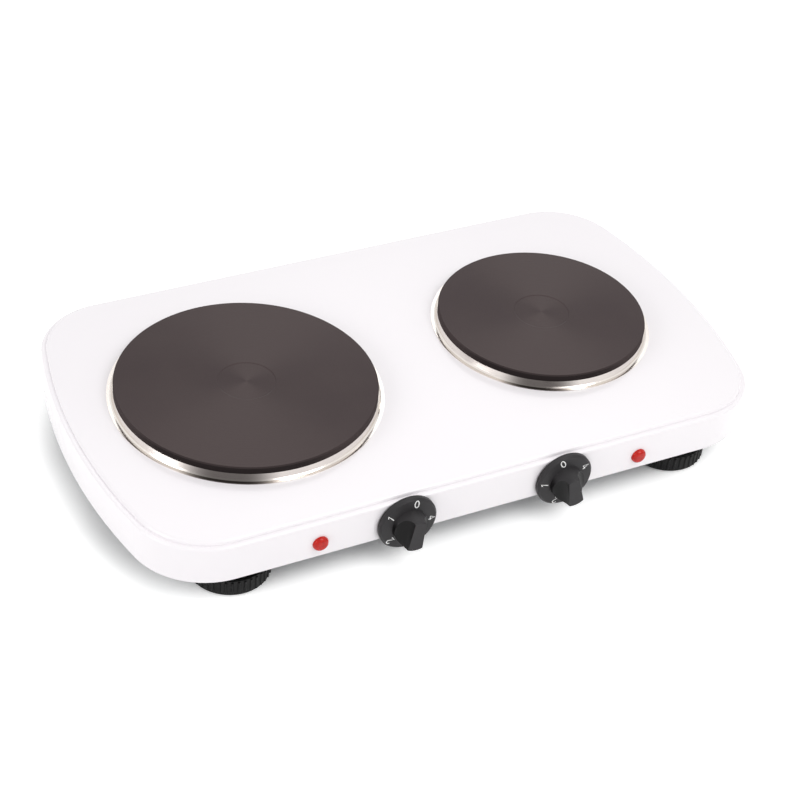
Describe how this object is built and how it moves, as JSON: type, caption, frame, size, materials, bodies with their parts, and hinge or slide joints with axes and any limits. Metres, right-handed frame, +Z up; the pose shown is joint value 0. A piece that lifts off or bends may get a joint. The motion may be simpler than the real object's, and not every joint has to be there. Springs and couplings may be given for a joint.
{
  "type": "hot plate burner",
  "caption": "Tabletop electric hob: white steel housing, a large and a small solid cast-iron plate in bright trim rings, front knobs with numbered dials, red lamps, ribbed screw feet.",
  "frame": {"origin": "on the surface it stands on, below the middle of its box", "axes": "+Z up, -Y towards the knobs, +X to the small plate"},
  "size_m": [0.4948, 0.305, 0.066],
  "materials": {
    "white_enamel": "gloss white enamel",
    "cast_iron": "turned and dark coated",
    "bright_steel": "polished stainless sheet",
    "zinc_sheet": "zinc-coated sheet",
    "zinc_steel": "zinc plated",
    "black_phenolic": "satin black moulding",
    "black_plastic": "black moulding",
    "red_lens": "clear red moulding",
    "black_moulding": "black moulding",
    "magnesia": "pressed filling",
    "ceramic": "unglazed ceramic",
    "pale_moulding": "pale moulding",
    "glass_sleeved_lead": "glass-braid sleeve",
    "earth_lead": "green insulated lead"
  },
  "bodies": {
    "stove": {"base_plate": "zinc_sheet", "base_screws": "zinc_steel", "control_screws": "zinc_steel", "cord_gland": "black_moulding", "earth_post": "zinc_steel", "earth_wire": "earth_lead", "foot_nuts": "zinc_steel", "gland_nut": "black_moulding", "housing": "white_enamel", "large_clamp_bridge": "zinc_sheet", "large_cover": "zinc_sheet", "large_element": "magnesia", "large_plate": "cast_iron", "large_stud": "zinc_steel", "large_terminal": "ceramic", "large_trim_ring": "bright_steel", "left_control": "black_moulding", "left_feed_wire": "glass_sleeved_lead", "left_lamp_holder": "black_moulding", "left_lamp_lens": "red_lens", "left_lamp_wire": "glass_sleeved_lead", "left_plate_wire": "glass_sleeved_lead", "left_return_wire": "glass_sleeved_lead", "plate_nuts": "zinc_steel", "plate_washers": "zinc_steel", "right_control": "black_moulding", "right_feed_wire": "glass_sleeved_lead", "right_lamp_holder": "black_moulding", "right_lamp_lens": "red_lens", "right_lamp_wire": "glass_sleeved_lead", "right_plate_wire": "glass_sleeved_lead", "right_return_wire": "glass_sleeved_lead", "small_clamp_bridge": "zinc_sheet", "small_cover": "zinc_sheet", "small_element": "magnesia", "small_plate": "cast_iron", "small_stud": "zinc_steel", "small_terminal": "ceramic", "small_trim_ring": "bright_steel", "terminal_block": "pale_moulding"},
    "left_knob": {"left_knob": "black_phenolic", "left_shaft": "zinc_steel"},
    "right_knob": {"right_knob": "black_phenolic", "right_shaft": "zinc_steel"},
    "front_left_foot_stud": {"front_left_foot_stud": "zinc_steel"},
    "front_left_foot_wheel": {"front_left_foot_wheel": "black_plastic"},
    "front_right_foot_stud": {"front_right_foot_stud": "zinc_steel"},
    "front_right_foot_wheel": {"front_right_foot_wheel": "black_plastic"},
    "rear_left_foot_stud": {"rear_left_foot_stud": "zinc_steel"},
    "rear_left_foot_wheel": {"rear_left_foot_wheel": "black_plastic"},
    "rear_right_foot_stud": {"rear_right_foot_stud": "zinc_steel"},
    "rear_right_foot_wheel": {"rear_right_foot_wheel": "black_plastic"}
  },
  "joints": [
    {"name": "left_knob_turn", "type": "hinge", "parent": "stove", "child": "left_knob", "pos_m": [-0.06075, -0.1335, 0.035], "axis": [0, -1, 0], "continuous": true},
    {"name": "right_knob_turn", "type": "hinge", "parent": "stove", "child": "right_knob", "pos_m": [0.06075, -0.1335, 0.035], "axis": [0, -1, 0], "continuous": true},
    {"name": "front_left_foot_lift", "type": "slide", "parent": "stove", "child": "front_left_foot_stud", "axis": [0, 0, 1], "range_m": [-0.005, 0.005]},
    {"name": "front_left_foot_turn", "type": "hinge", "parent": "front_left_foot_stud", "child": "front_left_foot_wheel", "pos_m": [-0.173, -0.0995, 0], "axis": [0, 0, 1], "range_deg": [-1440.5, 1440.5]},
    {"name": "front_right_foot_lift", "type": "slide", "parent": "stove", "child": "front_right_foot_stud", "axis": [0, 0, 1], "range_m": [-0.005, 0.005]},
    {"name": "front_right_foot_turn", "type": "hinge", "parent": "front_right_foot_stud", "child": "front_right_foot_wheel", "pos_m": [0.173, -0.0995, 0], "axis": [0, 0, 1], "range_deg": [-1440.5, 1440.5]},
    {"name": "rear_left_foot_lift", "type": "slide", "parent": "stove", "child": "rear_left_foot_stud", "axis": [0, 0, 1], "range_m": [-0.005, 0.005]},
    {"name": "rear_left_foot_turn", "type": "hinge", "parent": "rear_left_foot_stud", "child": "rear_left_foot_wheel", "pos_m": [-0.173, 0.1105, 0], "axis": [0, 0, 1], "range_deg": [-1440.5, 1440.5]},
    {"name": "rear_right_foot_lift", "type": "slide", "parent": "stove", "child": "rear_right_foot_stud", "axis": [0, 0, 1], "range_m": [-0.005, 0.005]},
    {"name": "rear_right_foot_turn", "type": "hinge", "parent": "rear_right_foot_stud", "child": "rear_right_foot_wheel", "pos_m": [0.173, 0.1105, 0], "axis": [0, 0, 1], "range_deg": [-1440.5, 1440.5]}
  ],
  "couplings": [
    {"joint": "front_left_foot_turn", "follows": "front_left_foot_lift", "rad_per_m": 5026.5},
    {"joint": "front_right_foot_turn", "follows": "front_right_foot_lift", "rad_per_m": 5026.5},
    {"joint": "rear_left_foot_turn", "follows": "rear_left_foot_lift", "rad_per_m": 5026.5},
    {"joint": "rear_right_foot_turn", "follows": "rear_right_foot_lift", "rad_per_m": 5026.5}
  ]
}
